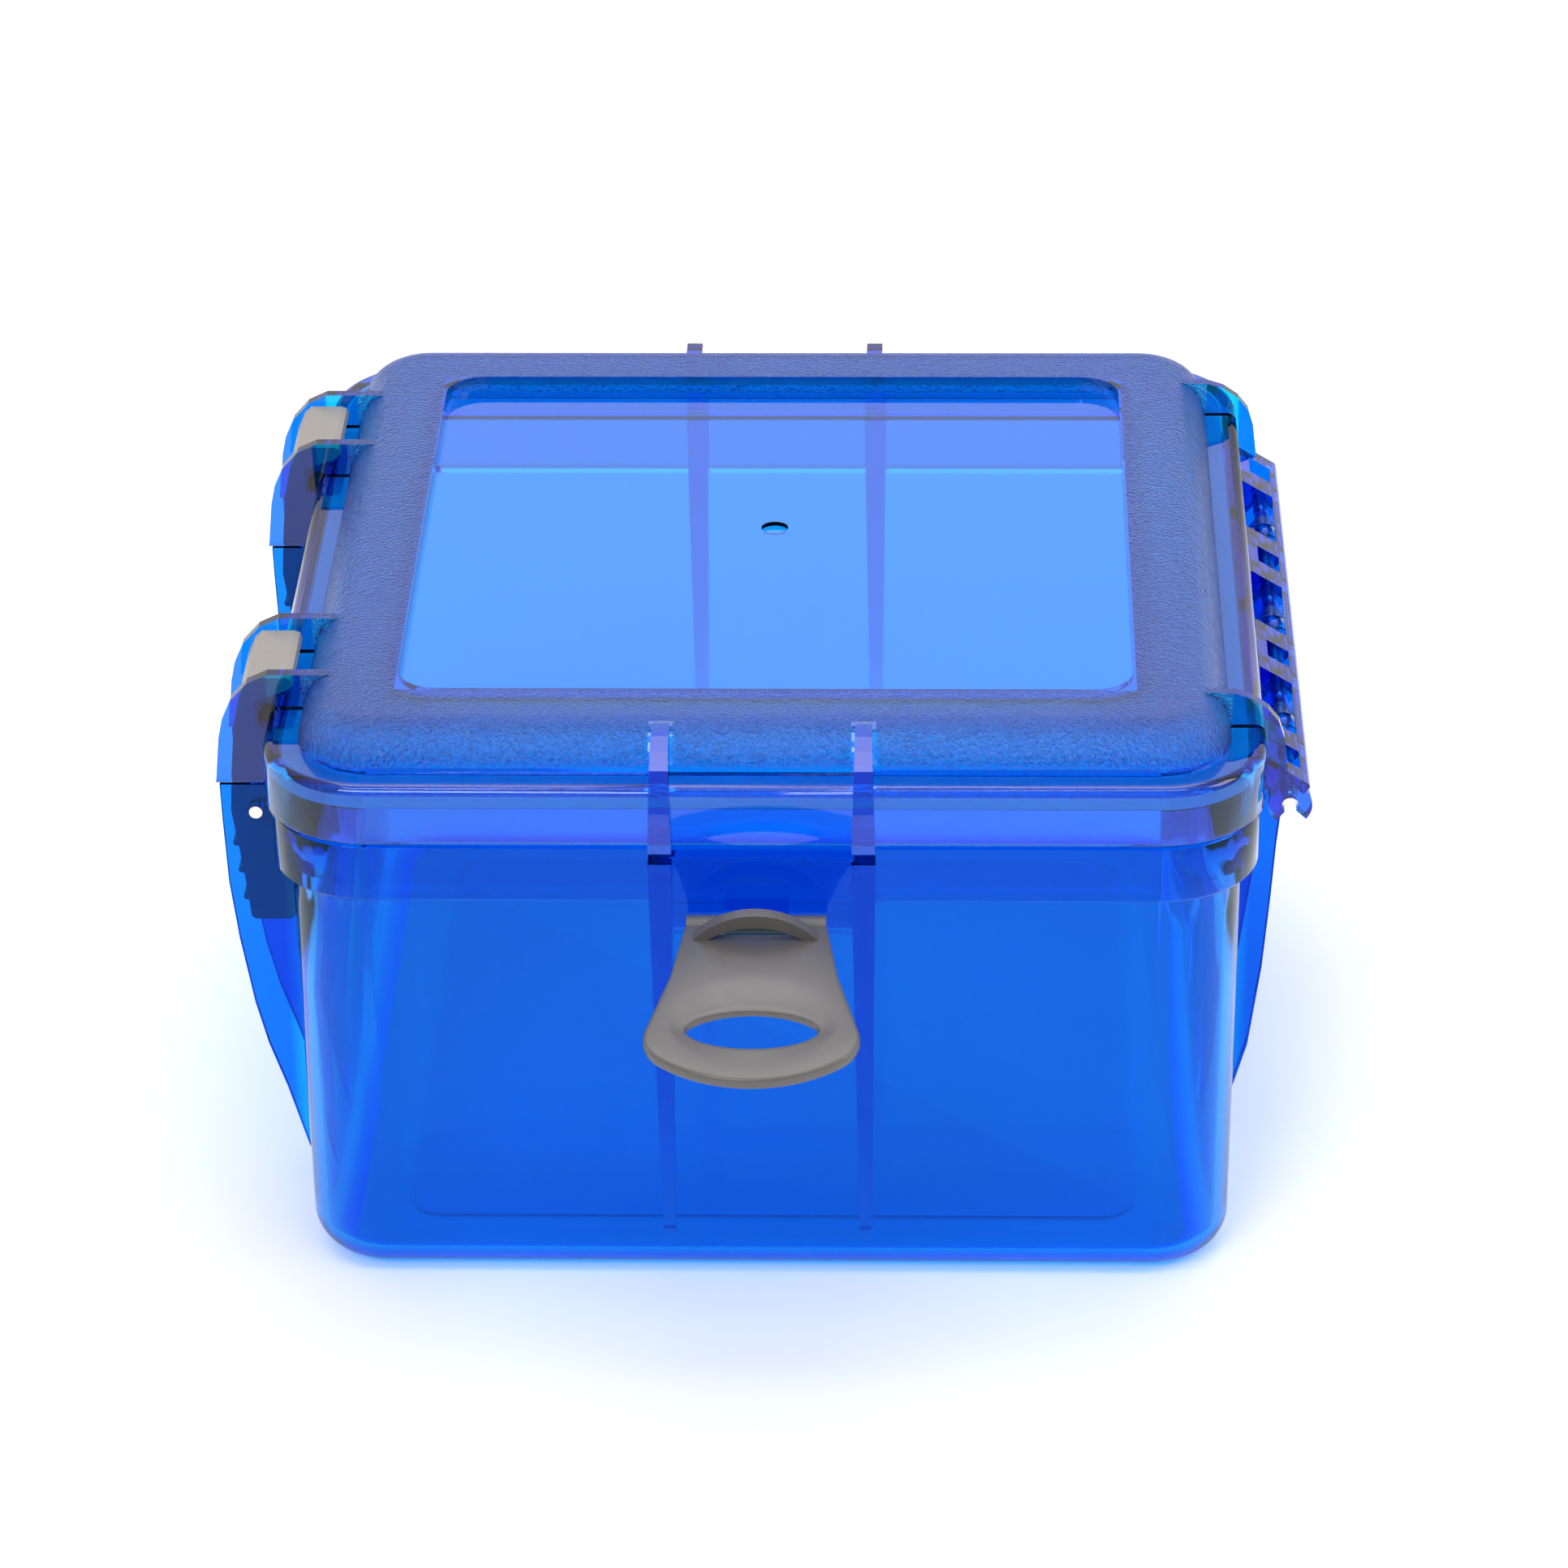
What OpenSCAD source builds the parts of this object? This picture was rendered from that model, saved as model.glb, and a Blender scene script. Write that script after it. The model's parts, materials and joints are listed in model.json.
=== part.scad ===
// Square hinged dry box, assembly of separate moulded and metal pieces.
// Millimetres, +Z up, origin at the centre of the tub's footprint on its base plane.
// -X is the latch side, +X is the hinge side, -Y is the front with the finger tab.

/* [Main] */
// Piece to show

/* [Box] */
// Outside width of the square lid band
lid_width = 190; // [170:1:230]
// Height from the base to the top of the lid frame
box_height = 119.5; // [100:0.5:150]
// Plan corner radius of the lid band
corner_radius = 20.4; // [16:0.1:32]
// Wall thickness of the tub
tub_wall = 2.6; // [1.8:0.1:4]
// Wall thickness of the lid
lid_wall = 2.7; // [1.8:0.1:4]

/* [Lid window] */
// Half width of the recessed window
window_half = 70; // [50:0.5:76]
// Depth of the window below the frame
window_depth = 3; // [1:0.1:4]
// Thickness of the window pane
window_thick = 2.5; // [1.6:0.1:3]
// Corner radius of the window
window_radius = 7.9; // [3:0.1:14]

/* [Ribs] */
// Distance of each rib from the centre plane
rib_offset = 19.05; // [14:0.05:30]
// Width of a rib at the parting line
rib_width = 4.5; // [3:0.1:6]

/* [Latches] */
// Distance of each latch from the centre plane
latch_offset = 51; // [40:0.5:60]
// Width of the latch lever
lever_width = 19; // [14:0.5:20]
// Clear width between the cheeks
cheek_gap = 21.2; // [20.4:0.1:24]
// Thickness of a cheek or fin
cheek_wall = 2.4; // [1.6:0.1:3]
// Radius of the latch pins
pin_radius = 1.3; // [1:0.05:1.4]

/* [Hinge] */
// Radius of the hinge rod
rod_radius = 1.6; // [1.2:0.05:2]
// Length of the hinge rod
rod_length = 138; // [120:1:140]
// Spacing of the openings in the hinge cage
cage_pitch = 20.8; // [20:0.1:21]
// Running clearance on each pivot
pivot_clearance = 0.05; // [0.02:0.01:0.1]

/* [Finger tab] */
// Sideways shift of the tab from the centre plane
tab_shift = -1; // [-4:0.5:4]
// Thickness of the tab plate
tab_thick = 2.5; // [1.6:0.1:4]
// Downward slope of the tab at rest
tab_slope = 9; // [0:1:20]

/* [Hidden] */
$fn = 64;

lid_half = lid_width / 2;
// Centre of every plan corner arc
cc = lid_half - corner_radius;
// Radii of the corner arcs at each level
r_band = corner_radius;
r_skirt_in = corner_radius - 3;
r_collar = corner_radius - 1.1;
r_lip = corner_radius - 4;
r_tub_top = corner_radius - 4.3;
r_tub_base = corner_radius - 5;
r_dome = corner_radius - 6.7;
foot_round = 8;
dome_round = 8;
// Heights
z_lid = box_height - 20.5;
z_collar = z_lid - 0.5;
z_lip = z_lid + 7;
z_ledge = z_lid + 12.5;
z_top = box_height;
z_win = z_top - window_depth;
// Pivot points in X and Z
rod_x = lid_half + 5;
rod_z = z_lid - 4.3;
p1_x = -lid_half - 3.6;
p1_z = z_lid - 9.8;
p2_x = -lid_half - 4.9;
p2_z = z_lid + 1.1;
link_len = sqrt(pow(p2_x - p1_x, 2) + pow(p2_z - p1_z, 2));
tab_y = -lid_half - 6;
tab_z = z_lid - 13.3;
cyan = [0.02, 0.42, 0.85, 0.55];
deep = [0.0, 0.28, 0.72, 0.6];
grey = [0.50, 0.48, 0.47];
steel = [0.75, 0.74, 0.70];
soft = [0.06, 0.12, 0.28];

// ---------- shared shapes ----------

// Rounded square, half width h and corner radius r
module plan(h, r) {
    square([2 * h, 2 * (h - r)], center = true);
    square([2 * (h - r), 2 * h], center = true);
    for (sx = [-1, 1])
        for (sy = [-1, 1])
            translate([sx * (h - r), sy * (h - r)]) circle(r);
}

// Wall section carried round the four sides and corners
module carried_round() {
    for (a = [0 : 90 : 270])
        rotate([0, 0, a]) {
            translate([cc, 0, 0])
                rotate([90, 0, 0])
                linear_extrude(height = 2 * cc, center = true)
                children();
            translate([cc, cc, 0])
                rotate_extrude(angle = 90)
                children();
        }
}

// Plate in the XZ plane, thickness t centred on y
module xz_plate(y, t) {
    translate([0, y + t / 2, 0])
        rotate([90, 0, 0])
        linear_extrude(height = t)
        children();
}

// Plate in the YZ plane drawn as (outward, up), facing -Y when s = -1
module yz_plate(x, t, s) {
    translate([x - s * t / 2, 0, 0])
        rotate([0, 0, s * 90])
        rotate([90, 0, 0])
        linear_extrude(height = t)
        children();
}

// Rod along Y
module y_rod(x, z, r, y0, y1) {
    translate([x, y1, z])
        rotate([90, 0, 0])
        cylinder(r = r, h = y1 - y0);
}

// ---------- tub ----------

module tub_section() {
    fc = r_tub_base - foot_round;
    difference() {
        union() {
            square([fc, foot_round]);
            translate([fc, foot_round]) circle(foot_round);
            polygon([[0, foot_round], [r_tub_base, foot_round], [r_tub_top, z_collar - 12.5],
                [r_collar - 0.5, z_collar - 12], [r_collar, z_collar - 11.4],
                [r_collar, z_collar - 0.4], [r_collar - 0.4, z_collar], [r_lip, z_collar],
                [r_lip, z_lip - 0.4], [r_lip - 0.4, z_lip], [0, z_lip]]);
        }
        translate([-foot_round, tub_wall]) square([fc + foot_round, foot_round]);
        translate([fc, foot_round]) circle(foot_round - tub_wall);
        polygon([[-1, foot_round], [r_tub_base - tub_wall, foot_round],
            [r_lip - 2.9, z_collar - 38], [r_lip - 2.9, z_lip + 1], [-1, z_lip + 1]]);
    }
}

// Side outline of a tub rib, outward and up
module tub_rib_side() {
    polygon([[cc + r_tub_base - 1.2, 8], [cc + r_tub_base + 0.2, 9], [92.3, 22], [94.6, 38],
        [96.6, 56], [98.0, 76], [98.7, 88], [98.9, z_collar - 1], [92.6, z_collar - 1],
        [92.2, z_collar - 11], [cc + r_tub_base - 0.8, z_collar - 14]]);
}

module tub_rib(x, s) {
    intersection() {
        yz_plate(x, rib_width + 2, s) tub_rib_side();
        xz_plate(s * 95, 30)
            polygon([[x - 1.1, 7], [x + 1.1, 7], [x + rib_width / 2, z_collar - 1],
                [x - rib_width / 2, z_collar - 1]]);
    }
}

// Outline of a latch fin on the tub, X and Z
module latch_fin_side() {
    polygon([[-89.3, 9], [-90.2, 9.5], [-91.9, 14], [-95.5, 27.3], [-98.7, 37.2],
        [-100.9, 46.6], [-103.2, 61.2], [-104.6, 73.8], [-105.1, 87], [-105.3, z_lid - 3.8],
        [-92.4, z_lid - 3.8], [-92.4, z_collar - 11], [-89.6, z_collar - 14]]);
}

module hinge_fin_side() {
    difference() {
        union() {
            polygon([[89.3, 11], [90.4, 12], [92.2, 17], [94.7, 26], [97.1, 44], [98.4, 60],
                [99.2, 72], [100, 80], [101.4, 91], [rod_x, rod_z], [96.5, 96.4],
                [92.4, 96.4], [92.4, z_collar - 11], [89.6, z_collar - 14]]);
            translate([rod_x, rod_z]) circle(3.4);
        }
        translate([rod_x, rod_z]) circle(rod_radius + 0.02);
    }
}

module tab_pad_side() {
    polygon([[89.4, 80.6], [95.2, 80.6], [96.6, 82.2], [96.6, z_collar - 0.6],
        [92.4, z_collar - 0.6], [92.2, z_collar - 11], [89.4, z_collar - 14]]);
}

module tab_lug_side() {
    difference() {
        union() {
            translate([-tab_y, tab_z]) circle(3.3);
            polygon([[95.8, tab_z - 3.3], [-tab_y, tab_z - 3.3], [-tab_y, tab_z + 3.3],
                [95.8, tab_z + 3.3]]);
        }
        translate([-tab_y, tab_z]) circle(1.95 + pivot_clearance);
        translate([-tab_y, tab_z - 1.5]) square([6, 3]);
    }
}

module body_tub() {
    color(cyan)
    difference() {
        union() {
            carried_round() tub_section();
            translate([-cc, -cc, 0]) cube([2 * cc, 2 * cc, tub_wall]);
            // raised floor panel inside
            translate([0, 0, tub_wall - 0.1]) linear_extrude(height = 0.9) plan(72, 7);
            for (s = [-1, 1])
                for (x = [-rib_offset, rib_offset])
                    tub_rib(x, s);
            for (yc = [-latch_offset, latch_offset])
                for (s = [-1, 1])
                    xz_plate(yc + s * (cheek_gap + cheek_wall) / 2, cheek_wall)
                        latch_fin_side();
            for (yc = [-2 * cage_pitch, 0, 2 * cage_pitch])
                xz_plate(yc, 5.6) hinge_fin_side();
            yz_plate(0, 2 * rib_offset - 3.4, -1) tab_pad_side();
            yz_plate(tab_shift, 12, -1) tab_lug_side();
        }
        for (yc = [-latch_offset, latch_offset])
            y_rod(p1_x, p1_z, pin_radius + 0.02, yc - 16, yc + 16);
    }
}

// ---------- lid ----------

module lid_section() {
    difference() {
        union() {
            polygon([[0, z_lid + 6.8], [r_lip - 3.3, z_lid + 6.8], [r_lip - 3.3, z_lid + 9.5],
                [r_skirt_in, z_lid + 9.5], [r_skirt_in, z_lid], [r_band - 0.6, z_lid],
                [r_band, z_lid + 0.6], [r_band, z_ledge - 2], [r_band - 2, z_ledge],
                [0, z_ledge]]);
            translate([r_band - 2, z_ledge - 2]) circle(2);
            translate([r_dome - dome_round, z_ledge]) circle(dome_round);
            translate([0, z_ledge]) square([r_dome - dome_round, dome_round]);
        }
        // nothing left of the axis that the corners turn on
        translate([-dome_round, z_lid - 1]) square([dome_round, box_height]);
        // hollow under the dome
        translate([r_dome - dome_round, z_ledge]) circle(dome_round - lid_wall);
        translate([-1, z_lid + 3]) square([r_dome - dome_round + 1, dome_round + 6.8]);
        translate([-1, z_lid + 3]) square([r_dome - lid_wall + 1, z_ledge - z_lid - 3]);
        // groove for the seal
        translate([r_lip - 3.3, z_lid - 1]) square([r_skirt_in - r_lip + 3.3, 10.5]);
    }
}

module lid_rib_side() {
    polygon([[82.4, z_top - 1.2], [82.9, z_top - 0.5], [88, z_top - 0.6], [91.5, z_top - 1.9],
        [94.5, z_top - 4.5], [96.5, z_top - 7.8], [97.6, z_top - 12], [98.1, z_lid + 0.3],
        [93.4, z_lid + 0.3], [93.4, z_ledge - 1.4], [87.2, z_ledge - 1], [86.2, z_ledge + 3.2],
        [84.6, z_ledge + 5.2]]);
}

module lid_rib(x, s) {
    intersection() {
        yz_plate(x, rib_width + 2, s) lid_rib_side();
        xz_plate(s * 95, 40)
            polygon([[x - rib_width / 2, z_lid], [x + rib_width / 2, z_lid],
                [x + 1.6, z_top + 1], [x - 1.6, z_top + 1]]);
    }
}

module latch_cheek_side() {
    polygon([[-82.4, z_top - 1.2], [-82.9, z_top - 0.5], [-95, z_top - 0.5],
        [-99, z_top - 2.4], [-102.3, z_top - 6.1], [-104.1, z_top - 10.2], [-104.9, z_top - 14],
        [-105.9, z_lid - 3.3], [-94.7, z_lid - 3.3], [-94.7, z_lid + 0.6], [-93.4, z_lid + 0.6],
        [-93.4, z_ledge - 1.4], [-87.2, z_ledge - 1], [-86.2, z_ledge + 3.2],
        [-84.6, z_ledge + 5.2]]);
}

// Bead under each latch pad
module catch_side() {
    polygon([[-94, z_ledge - 5.6], [-95, z_ledge - 5.4], [-96.7, z_ledge - 4.4],
        [-97.3, z_ledge - 2.8], [-97, z_ledge - 0.9], [-96, z_ledge + 0.5], [-95, z_ledge + 0.7],
        [-93.4, z_ledge - 0.1], [-93.4, z_ledge - 1.5]]);
}

module hinge_cheek_side() {
    polygon([[82.4, z_top - 1.2], [82.9, z_top - 0.5], [89, z_top - 0.7], [92.1, z_top - 1.7],
        [95.2, z_top - 3.9], [97.4, z_top - 6.7], [98.5, z_top - 10.2], [99.3, z_top - 17.2],
        [98.4, z_lid + 1.5], [94.8, z_lid + 2.5], [93.4, z_lid + 2.5], [93.4, z_ledge - 1.4],
        [87.2, z_ledge - 1], [86.2, z_ledge + 3.2], [84.6, z_ledge + 5.2]]);
}

// Sloping strip of the hinge cage
module cage_side() {
    polygon([[93.5, z_lid + 5.6], [95, z_lid + 5.6], [103.3, z_lid + 0.5],
        [103.7, z_lid - 0.2], [103, z_lid - 1.2], [102.4, z_lid - 1.1], [94.9, z_lid + 3.6],
        [93.5, z_lid + 3.6]]);
}

// Open jaw that clips over the hinge rod
module jaw_side() {
    difference() {
        union() {
            translate([rod_x, rod_z]) circle(4.2);
            polygon([[93.5, z_lid + 4.4], [93.5, z_lid + 0.6], [94.8, z_lid + 0.4],
                [96.3, rod_z + 2], [rod_x, rod_z], [103.2, rod_z + 2.7],
                [103, z_lid - 0.4]]);
        }
        translate([rod_x, rod_z]) circle(rod_radius + pivot_clearance);
        polygon([[rod_x, rod_z], [rod_x - 4.2, rod_z - 5.4], [rod_x + 5.2, rod_z - 4.85]]);
    }
}

module lid() {
    color(deep)
    difference() {
        union() {
            carried_round() lid_section();
            // frame and sunk window
            difference() {
                union() {
                    translate([-cc, -cc, z_top - lid_wall]) cube([2 * cc, 2 * cc, lid_wall]);
                    translate([0, 0, z_win - window_thick])
                        linear_extrude(height = window_depth + window_thick - 0.5)
                        plan(window_half + 2.5, window_radius + 2.5);
                }
                translate([0, 0, z_win])
                    linear_extrude(height = window_depth + 1)
                    plan(window_half, window_radius);
            }
            for (s = [-1, 1])
                for (x = [-rib_offset, rib_offset])
                    lid_rib(x, s);
            for (yc = [-latch_offset, latch_offset]) {
                for (s = [-1, 1])
                    xz_plate(yc + s * (cheek_gap + cheek_wall) / 2, cheek_wall)
                        latch_cheek_side();
                xz_plate(yc, cheek_gap + 1) catch_side();
            }
            // hinge cage
            for (s = [-1, 1]) {
                xz_plate(s * 69.2, 2.2) hinge_cheek_side();
                xz_plate(s * 68.05, 4.5) jaw_side();
            }
            for (y = [-55.6, -27.6, -14, 14, 27.6, 55.6])
                xz_plate(y, 6.8) jaw_side();
            difference() {
                xz_plate(0, 140.6) cage_side();
                for (k = [-1, 0, 1])
                    translate([95.3, 2 * k * cage_pitch - 10.6, z_lid - 6])
                        cube([6.7, 21.2, 16]);
                for (k = [-3, -1, 1, 3])
                    translate([97.6, k * cage_pitch - 3.4, z_lid - 6])
                        cube([4.4, 6.8, 16]);
            }
        }
        // moulding gate dimple
        translate([0, 4.8, z_win - 0.9]) cylinder(r = 2.7, h = 2);
    }
}

// Gasket in the lid's groove, over the top of the tub's lip
module lid_seal() {
    color(soft)
    translate([0, 0, z_lip + 0.05])
        linear_extrude(height = 2.4)
        difference() {
            plan(cc + r_lip + 0.5, r_lip + 0.5);
            plan(cc + r_lip - 3.2, r_lip - 3.2);
        }
}

// ---------- hinge and latches ----------

module hinge_rod() {
    color(steel) y_rod(rod_x, rod_z, rod_radius, -rod_length / 2, rod_length / 2);
}

module latch_pin(yc) {
    color(steel) y_rod(p1_x, p1_z, pin_radius, yc - 13.2, yc + 13.2);
}

module lever_pin(yc) {
    color(grey)
        y_rod(p2_x, p2_z, pin_radius, yc - lever_width / 2 + 0.1, yc + lever_width / 2 - 0.1);
}

// Hidden arm between the two pins
module latch_link(yc) {
    color(grey)
    xz_plate(yc, 13.4)
    difference() {
        union() {
            translate([p1_x, p1_z]) circle(2.6);
            translate([p2_x, p2_z]) circle(2.1);
            polygon([[p1_x - 2.55, p1_z], [p1_x + 2.55, p1_z + 0.3], [p2_x + 2.1, p2_z],
                [p2_x - 2.1, p2_z]]);
        }
        translate([p1_x, p1_z]) circle(pin_radius + pivot_clearance);
        translate([p2_x, p2_z]) circle(pin_radius + pivot_clearance);
    }
}

module lever_outline() {
    difference() {
        union() {
            polygon([[-98.2, z_lid + 18], [-99.5, z_lid + 16.8], [-101, z_lid + 13.5],
                [-102.3, z_lid + 7], [-103.2, z_lid - 3], [-103.7, z_lid - 11],
                [-102.7, z_lid - 18], [-101.6, z_lid - 27], [-100.9, z_lid - 34.4],
                [-100, z_lid - 35], [-93.2, z_lid - 35], [-92.5, z_lid - 34.4],
                [-92.5, z_lid - 14.6], [-95.7, z_lid - 13], [-95.7, z_lid + 6.4],
                [-98, z_lid + 7.4], [-98, z_lid + 12.6], [-96.4, z_lid + 13.5],
                [-91.6, z_lid + 15.4], [-90.4, z_lid + 16.4], [-90.8, z_lid + 17.6],
                [-91.8, z_lid + 18]]);
            // grip ridges
            translate([-103.0, z_lid - 18]) circle(0.7);
            translate([-102.25, z_lid - 24]) circle(0.7);
            translate([-101.55, z_lid - 30]) circle(0.7);
        }
        // path of the body pin
        intersection() {
            difference() {
                translate([p2_x, p2_z]) circle(link_len + pin_radius + 0.3);
                translate([p2_x, p2_z]) circle(link_len - pin_radius - 0.3);
            }
            translate([p1_x, p1_z - 5]) square([10, 12]);
        }
        translate([p1_x, p1_z]) circle(pin_radius + 0.3);
    }
}

module latch_lever(yc) {
    color(grey)
    difference() {
        xz_plate(yc, lever_width) lever_outline();
        // pocket for the link, open inwards
        xz_plate(yc, 14) {
            translate([p2_x, p2_z]) circle(2.35);
            polygon([[p2_x - 2.35, p2_z], [p1_x - 3.1, p1_z], [p1_x - 3.1, p1_z - 4],
                [-90, p1_z - 4], [-90, p2_z + 2.35], [p2_x, p2_z + 2.35]]);
        }
        // pocket behind the finger pad
        xz_plate(yc, 14)
            polygon([[-100.4, z_lid - 15.5], [-99.2, z_lid - 32], [-90, z_lid - 32],
                [-90, z_lid - 15.5]]);
        y_rod(p2_x, p2_z, pin_radius + 0.02, yc - 12, yc + 12);
    }
}

// ---------- finger tab ----------

module tab_outline() {
    polygon([[-13.1, 0], [13.1, 0], [15.6, 16], [19.9, 33.7], [0, 38], [-19.9, 33.7],
        [-15.6, 16]]);
    for (s = [-1, 1])
        translate([s * 11.9, 33.7]) circle(8);
    intersection() {
        translate([0, 19.4]) circle(26.6);
        polygon([[0, 19.4], [23.8, 48], [23.8, 60], [-23.8, 60], [-23.8, 48]]);
    }
}

module slot(r, half) {
    for (s = [-1, 1])
        translate([s * half, 0]) circle(r);
    square([2 * half, 2 * r], center = true);
}

module finger_tab() {
    color(grey)
    translate([tab_shift, tab_y, tab_z])
    rotate([tab_slope, 0, 0])
    union() {
        // plate, drawn towards -Y
        mirror([0, 1, 0])
        difference() {
            translate([0, 0, -tab_thick / 2]) linear_extrude(height = tab_thick) tab_outline();
            translate([0, 31.1, -5]) linear_extrude(height = 10) slot(5.7, 6.6);
            // room for the lug
            translate([-6.6, -3, -5]) cube([13.2, 6.8, 10]);
            translate([0, 30.4, tab_thick / 2 - 0.7]) linear_extrude(height = 3) slot(9.6, 6);
        }
        // cross bar
        translate([-13.1, 0, 0]) rotate([0, 90, 0]) cylinder(r = 1.95, h = 26.2);
        // upright arch
        translate([0, -3.7, 0])
            rotate([90, 0, 0])
            linear_extrude(height = 2.4)
            difference() {
                intersection() {
                    translate([0, -7.44]) circle(14.64);
                    translate([-20, -0.9]) square([40, 12]);
                }
                translate([0, -10.6]) circle(14.8);
            }
    }
}

module latch_pin_front() { latch_pin(-latch_offset); }
module latch_pin_rear() { latch_pin(latch_offset); }
module latch_link_front() { latch_link(-latch_offset); }
module latch_link_rear() { latch_link(latch_offset); }
module latch_lever_front() { latch_lever(-latch_offset); }
module latch_lever_rear() { latch_lever(latch_offset); }
module lever_pin_front() { lever_pin(-latch_offset); }
module lever_pin_rear() { lever_pin(latch_offset); }

body_tub();
hinge_rod();
latch_pin_front();
latch_pin_rear();
lid();
lid_seal();
latch_link_front();
latch_link_rear();
latch_lever_front();
latch_lever_rear();
lever_pin_front();
lever_pin_rear();
finger_tab();
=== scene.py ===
"""Transparent blue dry box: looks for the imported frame. Metres, +Z up, -Y is the front."""

import math
import json

import bmesh
import bpy
from mathutils import Matrix, Vector


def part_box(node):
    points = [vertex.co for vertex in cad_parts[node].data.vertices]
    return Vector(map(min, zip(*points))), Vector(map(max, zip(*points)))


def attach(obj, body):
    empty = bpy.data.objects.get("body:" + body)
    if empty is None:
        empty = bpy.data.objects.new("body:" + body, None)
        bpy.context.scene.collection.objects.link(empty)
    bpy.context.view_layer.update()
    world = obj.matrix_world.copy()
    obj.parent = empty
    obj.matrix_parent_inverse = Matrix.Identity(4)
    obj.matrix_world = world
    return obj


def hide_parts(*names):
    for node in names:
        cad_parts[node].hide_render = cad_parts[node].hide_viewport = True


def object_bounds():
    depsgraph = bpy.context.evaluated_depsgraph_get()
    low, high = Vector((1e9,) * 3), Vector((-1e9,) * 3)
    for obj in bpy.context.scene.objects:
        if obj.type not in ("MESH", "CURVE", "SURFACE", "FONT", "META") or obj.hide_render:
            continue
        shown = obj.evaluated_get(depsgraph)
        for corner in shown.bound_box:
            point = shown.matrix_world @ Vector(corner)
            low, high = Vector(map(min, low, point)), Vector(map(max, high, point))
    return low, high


MM = 0.001

# ---------------------------------------------------------------- frame and driving sizes

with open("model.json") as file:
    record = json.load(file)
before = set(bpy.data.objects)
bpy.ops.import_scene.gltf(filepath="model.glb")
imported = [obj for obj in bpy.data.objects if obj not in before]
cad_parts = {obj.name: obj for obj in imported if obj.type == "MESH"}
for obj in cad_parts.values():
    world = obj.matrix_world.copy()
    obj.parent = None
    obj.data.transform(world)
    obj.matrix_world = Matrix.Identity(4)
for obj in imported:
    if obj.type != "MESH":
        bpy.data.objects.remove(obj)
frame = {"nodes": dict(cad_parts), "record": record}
nodes = frame["nodes"]
cad_box = [list(corner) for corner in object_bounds()]

joint_at = {j["name"]: Vector(j["pos_m"]) for j in frame["record"]["behaviour"]["joints"]}
LID_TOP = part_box("lid")[1][2]
PARTING = LID_TOP - 20.5 * MM
LEDGE = PARTING + 12.5 * MM
WINDOW_HALF = 70 * MM
DOME_HALF = 88.3 * MM
RIB_X = 19.05 * MM
RIB_HALF = 2.3 * MM
RIB_START = 82.5 * MM
# The fins on the tub and the cheeks and cage on the lid stand out past these, along X
FIN_START, FIN_FULL = 91.5 * MM, 94.5 * MM
CHEEK_START, CHEEK_FULL = 95.1 * MM, 95.6 * MM
TAB_SLOPE = math.radians(9)


# ---------------------------------------------------------------- node helpers


class Nodes:
    """A material's node tree with short calls for the nodes used here."""

    def __init__(self, name):
        self.material = bpy.data.materials.new(name)
        self.material.use_nodes = True
        self.tree = self.material.node_tree
        self.tree.nodes.clear()
        self.output = self.tree.nodes.new("ShaderNodeOutputMaterial")
        self.place = self.tree.nodes.new("ShaderNodeTexCoord").outputs["Object"]

    def put(self, socket, value):
        if hasattr(value, "is_output"):
            self.tree.links.new(value, socket)
        elif value is not None:
            socket.default_value = value

    def math(self, kind, a, b=None, c=None):
        node = self.tree.nodes.new("ShaderNodeMath")
        node.operation = kind
        for socket, value in zip(node.inputs, (a, b, c)):
            self.put(socket, value)
        return node.outputs[0]

    def axes(self):
        node = self.tree.nodes.new("ShaderNodeSeparateXYZ")
        self.put(node.inputs[0], self.place)
        return node.outputs

    def noise(self, scale, detail=3.0, roughness=0.5):
        node = self.tree.nodes.new("ShaderNodeTexNoise")
        self.put(node.inputs["Vector"], self.place)
        node.inputs["Scale"].default_value = scale
        node.inputs["Detail"].default_value = detail
        node.inputs["Roughness"].default_value = roughness
        return node.outputs[0]

    def pebbles(self, scale):
        node = self.tree.nodes.new("ShaderNodeTexVoronoi")
        self.put(node.inputs["Vector"], self.place)
        node.inputs["Scale"].default_value = scale
        return node.outputs["Distance"]

    def spread(self, value, low, high):
        """Maps 0..1 to low..high."""
        node = self.tree.nodes.new("ShaderNodeMapRange")
        self.put(node.inputs["Value"], value)
        node.inputs["To Min"].default_value = low
        node.inputs["To Max"].default_value = high
        return node.outputs[0]

    def blend(self, share, low, high):
        node = self.tree.nodes.new("ShaderNodeMix")
        node.data_type = "RGBA"
        self.put(node.inputs[0], share)
        self.put(node.inputs[6], low)
        self.put(node.inputs[7], high)
        return node.outputs[2]

    def bump(self, height, strength, distance, normal=None):
        node = self.tree.nodes.new("ShaderNodeBump")
        self.put(node.inputs["Height"], height)
        self.put(node.inputs["Strength"], strength)
        node.inputs["Distance"].default_value = distance
        if normal is not None:
            self.put(node.inputs["Normal"], normal)
        return node.outputs[0]

    def principled(self, **sockets):
        node = self.tree.nodes.new("ShaderNodeBsdfPrincipled")
        for key, value in sockets.items():
            self.put(node.inputs[key.replace("_", " ")], value)
        return node.outputs[0]

    def absorb(self, colour, density):
        """Thick stretches of the plastic look deeper than thin ones."""
        node = self.tree.nodes.new("ShaderNodeVolumeAbsorption")
        node.inputs["Color"].default_value = colour
        node.inputs["Density"].default_value = density
        self.tree.links.new(node.outputs[0], self.output.inputs["Volume"])

    def finish(self, shader):
        self.tree.links.new(shader, self.output.inputs["Surface"])
        return self.material


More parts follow.
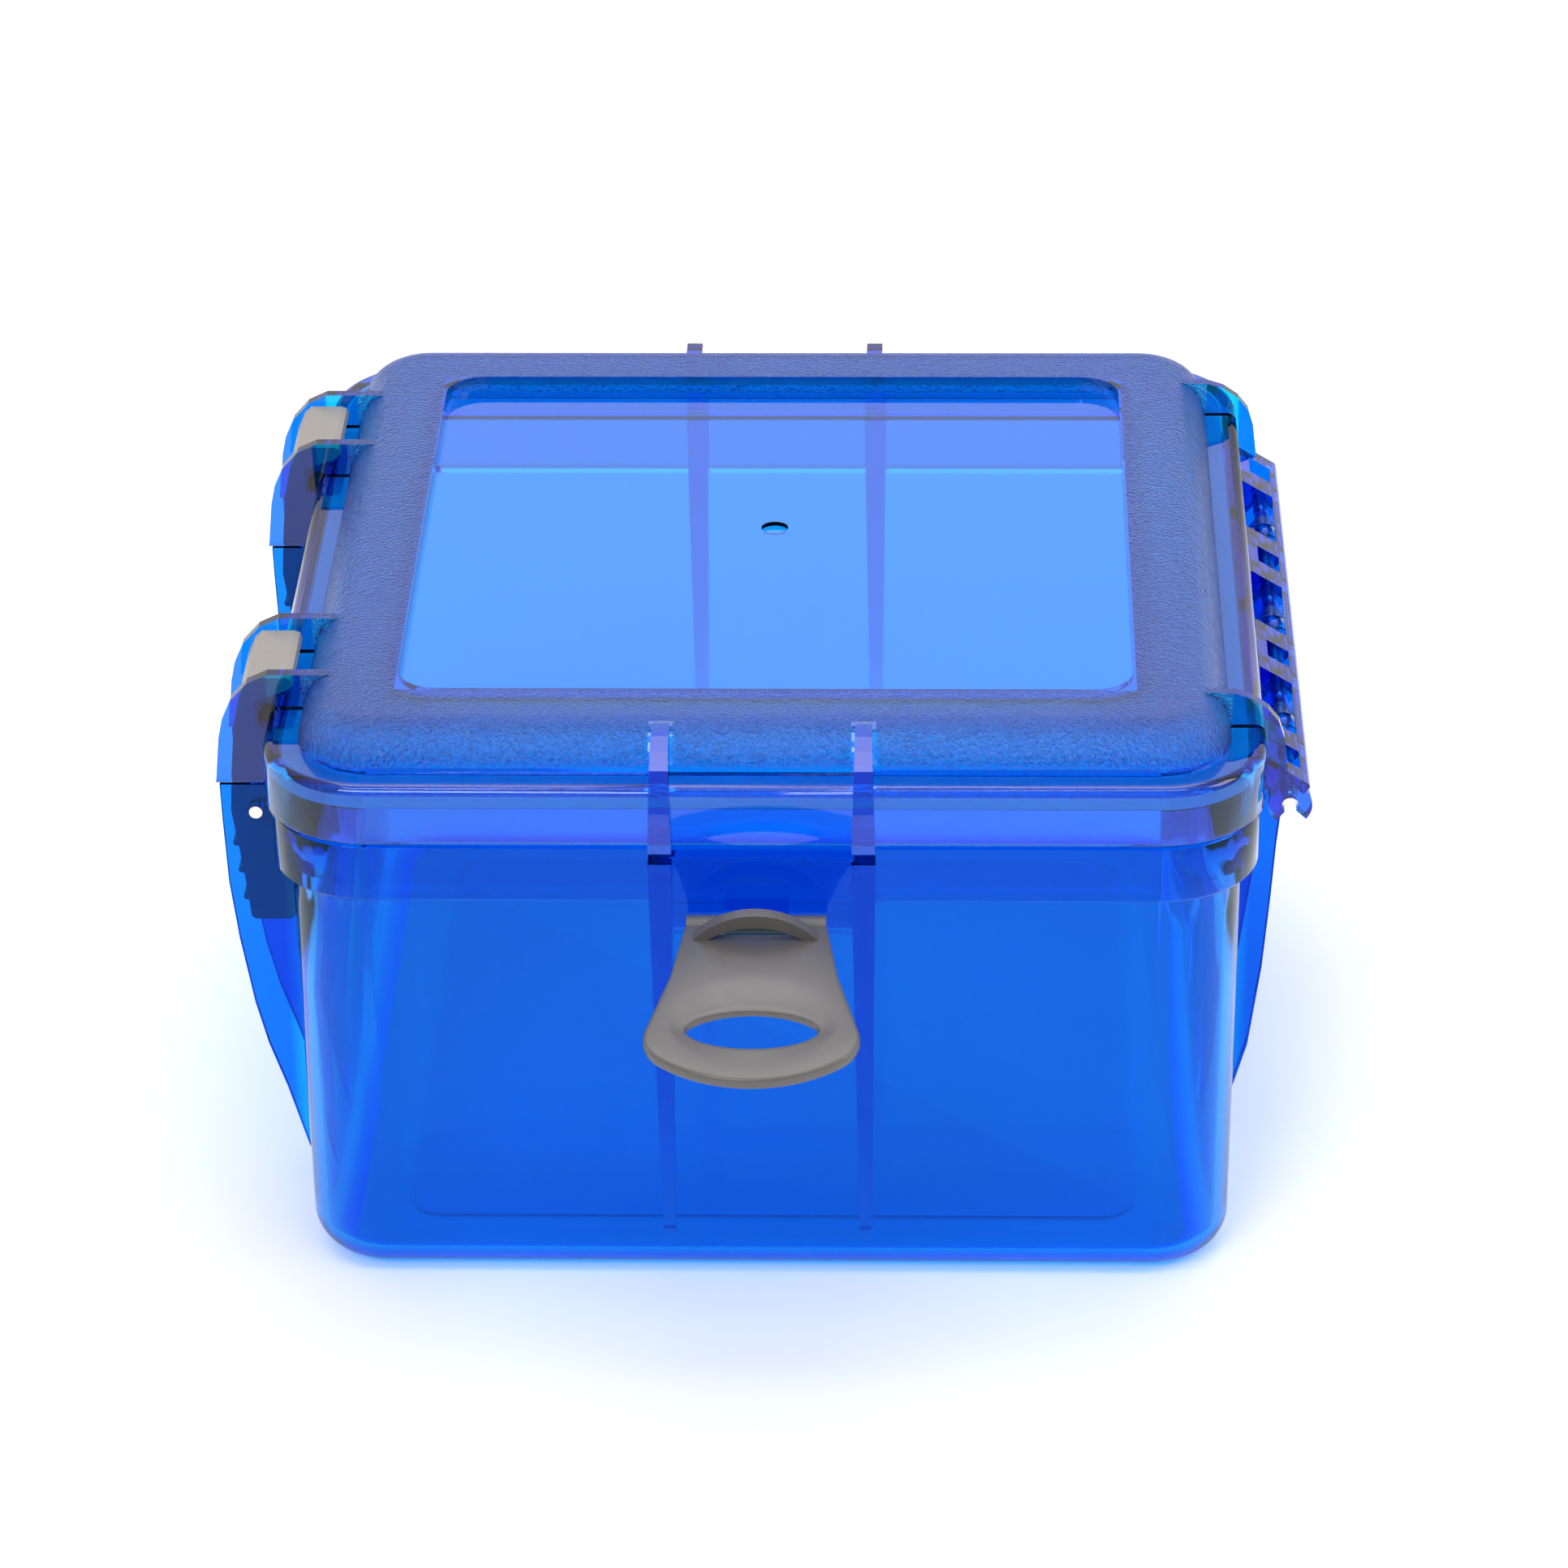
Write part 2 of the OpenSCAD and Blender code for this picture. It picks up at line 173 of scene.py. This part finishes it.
def see_through(n, shader, tint):
    """Lets lamp light through the tinted plastic, so that it lights what it shuts in."""
    light = n.tree.nodes.new("ShaderNodeLightPath")
    clear = n.tree.nodes.new("ShaderNodeBsdfTransparent")
    clear.inputs["Color"].default_value = tint
    mix = n.tree.nodes.new("ShaderNodeMixShader")
    n.put(mix.inputs[0], light.outputs["Is Shadow Ray"])
    n.put(mix.inputs[1], shader)
    n.put(mix.inputs[2], clear.outputs[0])
    return mix.outputs[0]


# ---------------------------------------------------------------- materials

POLYCARBONATE_IOR = 1.5
BLUE = (0.03, 0.72, 0.97, 1)
BLUE_DEEP = (0.02, 0.69, 0.95, 1)
# Painted light: a lighter cyan for the lid's band below the ledge, standing in for light let in through
# the ledge above
BLUE_BAND_PAINTED_LIGHT = (0.03, 0.92, 1.0, 1)
# Painted shade: a darker blue on the fins, cheeks and cage, which stand out from the two sides
BLUE_SIDE_PAINTED_SHADE = (0.012, 0.27, 0.85, 1)
BLUE_GLOSS = (0.15, 0.55, 1.0, 1)
BLUE_SHADE = (0.88, 0.95, 1.0, 1)
# Absorption in the plastic, by colour, and its strength per metre
BLUE_BODY = (0.0, 0.80, 0.96, 1)
BODY_DENSITY = 700.0


def beyond(n, start, end):
    """0 inside |x| = start, rising to 1 at |x| = end."""
    node = n.tree.nodes.new("ShaderNodeMapRange")
    n.put(node.inputs["Value"], n.math("ABSOLUTE", n.axes()[0]))
    node.inputs["From Min"].default_value = start
    node.inputs["From Max"].default_value = end
    return node.outputs[0]


def clear_blue():
    """Glossy moulded polycarbonate with a faint flow ripple."""
    n = Nodes("clear_blue")
    colour = n.blend(n.noise(9.0, 2.0), BLUE_DEEP, BLUE)
    # Painted shade: the tub's fins past FIN_START turn a darker blue
    colour = n.blend(beyond(n, FIN_START, FIN_FULL), colour, BLUE_SIDE_PAINTED_SHADE)
    ripple = n.bump(n.noise(35.0, 1.0), 0.10, 0.4 * MM)
    shader = n.principled(
        Base_Color=colour,
        Roughness=n.spread(n.noise(60.0), 0.02, 0.05),
        IOR=POLYCARBONATE_IOR,
        Transmission_Weight=1.0,
        Specular_IOR_Level=0.25,
        Specular_Tint=BLUE_GLOSS,
        Normal=ripple,
    )
    n.absorb(BLUE_BODY, BODY_DENSITY)
    return n.finish(see_through(n, shader, BLUE_SHADE))


def inside(n, value, limit):
    return n.math("LESS_THAN", value, limit)


def frost_mask(n):
    """1 on the pebbled frame and its rounded edge, 0 on the window, ribs, cheeks and band."""
    x, y, z = n.axes()
    ax, ay = n.math("ABSOLUTE", x), n.math("ABSOLUTE", y)
    reach = n.math("MAXIMUM", ax, ay)
    above_ledge = n.math("GREATER_THAN", z, LEDGE + 0.6 * MM)
    on_dome = n.math("MULTIPLY", above_ledge, inside(n, reach, DOME_HALF + 0.3 * MM))
    framed = n.math("GREATER_THAN", reach, WINDOW_HALF + 0.6 * MM)
    from_rib = n.math("ABSOLUTE", n.math("SUBTRACT", ax, RIB_X))
    rib = n.math("MULTIPLY", inside(n, from_rib, RIB_HALF), n.math("GREATER_THAN", ay, RIB_START))
    mask = n.math("MULTIPLY", on_dome, framed)
    return n.math("MULTIPLY", mask, n.math("SUBTRACT", 1.0, rib))


def lid_blue():
    """Clear polycarbonate whose raised frame is pebbled."""
    n = Nodes("lid_blue")
    mask = frost_mask(n)
    # Painted light: the band below the ledge is tinted a lighter cyan in place of light entering through
    # the ledge above
    painted_light_band = inside(n, n.axes()[2], LEDGE - 1.5 * MM)
    colour = n.blend(painted_light_band, n.blend(n.noise(9.0, 2.0), BLUE_DEEP, BLUE), BLUE_BAND_PAINTED_LIGHT)
    # Painted shade: the lid's cheeks and cage past CHEEK_START turn a darker blue
    colour = n.blend(beyond(n, CHEEK_START, CHEEK_FULL), colour, BLUE_SIDE_PAINTED_SHADE)
    grain = n.math("ADD", n.pebbles(1300.0), n.noise(2200.0, 2.0))
    bump = n.bump(grain, mask, 0.4 * MM)
    shader = n.principled(
        Base_Color=colour,
        Roughness=n.math("MULTIPLY_ADD", mask, 0.22, 0.03),
        IOR=POLYCARBONATE_IOR,
        Transmission_Weight=1.0,
        Normal=bump,
    )
    n.absorb(BLUE_BODY, BODY_DENSITY)
    return n.finish(see_through(n, shader, BLUE_SHADE))


def grey_plastic(name, light, dark, roughness):
    """Satin moulded plastic with a fine grain."""
    n = Nodes(name)
    colour = n.blend(n.noise(120.0, 4.0), dark, light)
    grain = n.bump(n.noise(2500.0, 2.0), 0.12, 0.1 * MM)
    shader = n.principled(
        Base_Color=colour,
        Roughness=n.spread(n.noise(400.0), roughness - 0.05, roughness + 0.07),
        Normal=grain,
    )
    return n.finish(shader)


def pin_steel():
    """Cut steel wire with fine turning marks."""
    n = Nodes("pin_steel")
    colour = n.blend(n.noise(300.0), (0.62, 0.60, 0.55, 1), (0.82, 0.80, 0.75, 1))
    shader = n.principled(
        Base_Color=colour,
        Metallic=1.0,
        Roughness=n.spread(n.noise(900.0), 0.18, 0.35),
        Normal=n.bump(n.noise(3000.0), 0.15, 0.05 * MM),
    )
    return n.finish(shader)


def seal_rubber():
    """Soft translucent pale blue seal."""
    n = Nodes("seal_rubber")
    colour = n.blend(n.noise(200.0), (0.35, 0.66, 0.90, 1), (0.42, 0.72, 0.95, 1))
    shader = n.principled(
        Base_Color=colour,
        Roughness=n.spread(n.noise(500.0), 0.3, 0.4),
        IOR=1.41,
        Transmission_Weight=0.85,
        Normal=n.bump(n.noise(1500.0), 0.2, 0.1 * MM),
    )
    return n.finish(shader)


def paint(obj, material):
    obj.data.materials.clear()
    obj.data.materials.append(material)


def soften(obj, width, segments=2):
    """Rounds the moulded edges of a CAD piece without touching its mesh."""
    weld = obj.modifiers.new("weld", "WELD")
    weld.merge_threshold = 0.002 * MM
    bevel = obj.modifiers.new("edges", "BEVEL")
    bevel.width = width
    bevel.segments = segments
    bevel.limit_method = "ANGLE"
    bevel.angle_limit = math.radians(35)
    bevel.use_clamp_overlap = True
    bevel.harden_normals = True


# ---------------------------------------------------------------- finger tab

HOLE_CENTRE = Vector((0, 31.1))
HOLE_HALF = Vector((12.3, 5.8))
DISH_CENTRE = Vector((0, 28.5))
DISH_HALF = Vector((16.2, 13.0))
DISH_DEPTH = 0.95
TAB_THICK = 2.5
BAR_HALF = 13.1
BAR_RADIUS = 1.95


def arc(centre, radius, start, end, count):
    """Points on an arc, angles in degrees."""
    steps = (math.radians(start + (end - start) * i / count) for i in range(count + 1))
    x, y = centre
    return [Vector((x + radius * math.cos(a), y + radius * math.sin(a))) for a in steps]


def tab_outline():
    """Half outline from the notch at the cross bar round to the lip, then its mirror."""
    half = [Vector((6.6, 3.8)), Vector((6.6, 0.2)), Vector((13.1, 0.2)), Vector((15.6, 16.0))]
    half += arc((11.9, 33.7), 8, -14, 50, 16)
    half += arc((0, 19.4), 26.6, 50.2, 90, 14)
    other = [Vector((-p.x, p.y)) for p in reversed(half[:-1])]
    return half + other


def reach(origin, direction, outline):
    """Distance from origin to a closed outline along direction."""
    best = math.inf
    for a, b in zip(outline, outline[1:] + outline[:1]):
        edge = b - a
        cross = direction.x * edge.y - direction.y * edge.x
        if abs(cross) < 1e-12:
            continue
        to_a = a - origin
        along = (to_a.x * edge.y - to_a.y * edge.x) / cross
        on_edge = (to_a.x * direction.y - to_a.y * direction.x) / cross
        if along > 0 and -1e-9 <= on_edge <= 1 + 1e-9:
            best = min(best, along)
    return best


def oval(centre, half, power, count=180):
    """Superellipse outline."""
    points = []
    for i in range(count):
        a = 2 * math.pi * i / count
        c, s = math.cos(a), math.sin(a)
        x = half.x * math.copysign(abs(c) ** (2 / power), c)
        y = half.y * math.copysign(abs(s) ** (2 / power), s)
        points.append(Vector((centre.x + x, centre.y + y)))
    return points


def tab_plate(bm):
    """Plate with a dished ring that falls to the finger hole, built as rings round the hole."""
    outline = tab_outline()
    hole = oval(HOLE_CENTRE, HOLE_HALF, 1.85)
    dish = oval(DISH_CENTRE, DISH_HALF, 2.1)
    angles = {2 * math.pi * i / 160 for i in range(160)}
    for p in outline:
        d = p - HOLE_CENTRE
        angles.add(math.atan2(d.y, d.x) % (2 * math.pi))
    angles = sorted(angles)
    kept = [a for i, a in enumerate(angles) if i == 0 or a - angles[i - 1] > 1e-4]
    top, under = TAB_THICK / 2, -TAB_THICK / 2
    round_r = 0.8
    columns = []
    for a in kept:
        way = Vector((math.cos(a), math.sin(a)))
        r0 = reach(HOLE_CENTRE, way, hole)
        r2 = reach(HOLE_CENTRE, way, outline)
        r1 = min(reach(HOLE_CENTRE, way, dish), r2 - 1.6)
        # the dish is deepest towards the pivot and runs out at the lip
        floor = top - DISH_DEPTH * (0.5 - 0.5 * way.y)
        column = [(r0 + 0.5, under), (r0 + 0.15, under + 0.15), (r0, under + 0.5), (r0, floor - 0.4)]
        column += [(r0 + 0.12, floor - 0.13), (r0 + 0.45, floor)]
        for k in range(1, 7):
            t = k / 6
            column.append((r0 + 0.45 + (r1 - r0 - 0.45) * t, floor + (top - floor) * t * t * (3 - 2 * t)))
        for deg in (90, 67, 45, 22, 0):
            c, s = math.cos(math.radians(deg)), math.sin(math.radians(deg))
            column.append((r2 - round_r + round_r * c, top - round_r + round_r * s))
        for deg in (0, 45, 90):
            c, s = math.cos(math.radians(deg)), math.sin(math.radians(deg))
            column.append((r2 - round_r + round_r * c, under + round_r - round_r * s))
        spots = ((HOLE_CENTRE.x + way.x * r, -(HOLE_CENTRE.y + way.y * r), z) for r, z in column)
        columns.append([bm.verts.new(spot) for spot in spots])
    for left, right in zip(columns, columns[1:] + columns[:1]):
        size = len(left)
        for i in range(size):
            j = (i + 1) % size
            bm.faces.new((left[i], left[j], right[j], right[i]))


def prism(bm, outline, place):
    """Closed prism from an outline; place(point, side) gives its 3-D position, side 0 or 1."""
    rings = [[bm.verts.new(place(p, side)) for p in outline] for side in (0, 1)]
    bm.faces.new(rings[0])
    bm.faces.new(list(reversed(rings[1])))
    for i in range(len(outline)):
        j = (i + 1) % len(outline)
        bm.faces.new((rings[0][j], rings[0][i], rings[1][i], rings[1][j]))


def tab_arch(bm):
    """Upright arch in front of the cross bar, with a lens-shaped gap for the tub's clip."""
    outer = arc((0, -7.44), 14.55, 26.7, 153.3, 40)
    inner = arc((0, -10.6), 14.85, 139, 41, 24)
    front, depth = -3.75, 2.3
    prism(bm, outer + inner, lambda p, side: (p.x, front - depth * side, p.y))


def tab_bar(bm):
    """Round cross bar."""
    outline = arc((0, 0), BAR_RADIUS, 0, 348.75, 31)
    prism(bm, outline, lambda p, side: ((2 * side - 1) * BAR_HALF, p.x, p.y))


def finger_tab():
    bm = bmesh.new()
    tab_plate(bm)
    tab_arch(bm)
    tab_bar(bm)
    bmesh.ops.recalc_face_normals(bm, faces=bm.faces)
    pivot = joint_at["tab_pivot"]
    bm.transform(Matrix.Translation(pivot) @ Matrix.Rotation(TAB_SLOPE, 4, "X") @ Matrix.Scale(MM, 4))
    mesh = bpy.data.meshes.new("finger_tab_moulding")
    bm.to_mesh(mesh)
    bm.free()
    obj = bpy.data.objects.new("finger_tab_moulding", mesh)
    bpy.context.collection.objects.link(obj)
    for polygon in mesh.polygons:
        polygon.use_smooth = True
    edges = obj.modifiers.new("edges", "BEVEL")
    edges.width = 0.45 * MM
    edges.segments = 3
    edges.angle_limit = math.radians(40)
    edges.harden_normals = True
    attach(obj, "tab")
    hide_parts("finger_tab")
    return obj


# ---------------------------------------------------------------- camera, floor and light


def add_camera():
    """Looks down on the front at the photographed angle."""
    yaw, pitch, roll = math.radians(-1.776), math.radians(28.7), math.radians(-0.70)
    level = math.cos(pitch)
    forward = Vector((math.sin(yaw) * level, math.cos(yaw) * level, -math.sin(pitch)))
    side = Vector((math.cos(yaw), -math.sin(yaw), 0))
    up = side.cross(forward)
    right = side * math.cos(roll) + up * math.sin(roll)
    top = up * math.cos(roll) - side * math.sin(roll)
    data = bpy.data.cameras.new("camera")
    data.sensor_width = 36
    data.lens = 138.46
    camera = bpy.data.objects.new("camera", data)
    turn = Matrix((right, top, -forward)).transposed().to_4x4()
    camera.matrix_world = Matrix.Translation((0.0348, -1.0782, 0.6512)) @ turn
    bpy.context.collection.objects.link(camera)
    bpy.context.scene.camera = camera


def add_floor():
    mesh = bpy.data.meshes.new("floor")
    size = 6.0
    corners = [(-size, -size, 0), (size, -size, 0), (size, size, 0), (-size, size, 0)]
    mesh.from_pydata(corners, [], [(0, 1, 2, 3)])
    floor = bpy.data.objects.new("floor", mesh)
    floor.location.z = cad_box[0][2]
    bpy.context.collection.objects.link(floor)
    n = Nodes("floor_white")
    shader = n.principled(Base_Color=(0.93, 0.93, 0.93, 1), Roughness=0.9, Specular_IOR_Level=0.1)
    paint(floor, n.finish(shader))


def add_softbox(name, at, look_at, width, height, power):
    data = bpy.data.lights.new(name, "AREA")
    data.shape = "RECTANGLE"
    data.size, data.size_y = width, height
    data.energy = power
    lamp = bpy.data.objects.new(name, data)
    lamp.location = at
    lamp.rotation_euler = (Vector(look_at) - Vector(at)).to_track_quat("-Z", "Y").to_euler()
    bpy.context.collection.objects.link(lamp)


def add_light():
    world = bpy.data.worlds.new("studio")
    bpy.context.scene.world = world
    world.use_nodes = True
    tree = world.node_tree
    background = tree.nodes["Background"]
    background.inputs["Color"].default_value = (1, 1, 1, 1)
    # darker towards the front, where the studio is unlit, and bright behind
    place = tree.nodes.new("ShaderNodeTexCoord")
    split = tree.nodes.new("ShaderNodeSeparateXYZ")
    ramp = tree.nodes.new("ShaderNodeMapRange")
    tree.links.new(place.outputs["Generated"], split.inputs[0])
    tree.links.new(split.outputs[1], ramp.inputs["Value"])
    ramp.inputs["From Min"].default_value = -0.6
    ramp.inputs["From Max"].default_value = 0.5
    ramp.inputs["To Min"].default_value = 0.45
    ramp.inputs["To Max"].default_value = 1.15
    tree.links.new(ramp.outputs[0], background.inputs["Strength"])
    add_softbox("softbox_front", (-0.5, -1.3, 1.2), (0, 0, 0.06), 0.7, 0.5, 9)
    add_softbox("softbox_right", (1.2, -0.3, 1.0), (0, 0, 0.06), 0.6, 0.6, 6)
    add_softbox("softbox_top", (0, 0.5, 1.6), (0, 0, 0.06), 1.0, 0.8, 8)
    add_softbox("softbox_edge", (0, -0.55, 1.6), (0, 0, 0.1), 1.2, 0.25, 5)
    bpy.context.scene.view_settings.view_transform = "Standard"


# ---------------------------------------------------------------- build

paint(nodes["body_tub"], clear_blue())
paint(nodes["lid"], lid_blue())
paint(nodes["lid_seal"], seal_rubber())
soften(nodes["body_tub"], 0.35 * MM)
soften(nodes["lid"], 0.35 * MM)
lever_grey = grey_plastic("lever_grey", (0.27, 0.245, 0.225, 1), (0.23, 0.21, 0.195, 1), 0.38)
tab_grey = grey_plastic("tab_grey", (0.113, 0.105, 0.103, 1), (0.09, 0.085, 0.083, 1), 0.33)
steel = pin_steel()
paint(nodes["hinge_rod"], steel)
for end in ("front", "rear"):
    for piece in ("latch_lever_", "latch_link_", "lever_pin_"):
        paint(nodes[piece + end], lever_grey)
    soften(nodes["latch_lever_" + end], 0.9 * MM, 3)
    paint(nodes["latch_pin_" + end], steel)
paint(finger_tab(), tab_grey)

add_camera()
add_floor()
add_light()

scene = bpy.context.scene
scene.cycles.max_bounces = 24
scene.cycles.transmission_bounces = 24
scene.cycles.transparent_max_bounces = 24
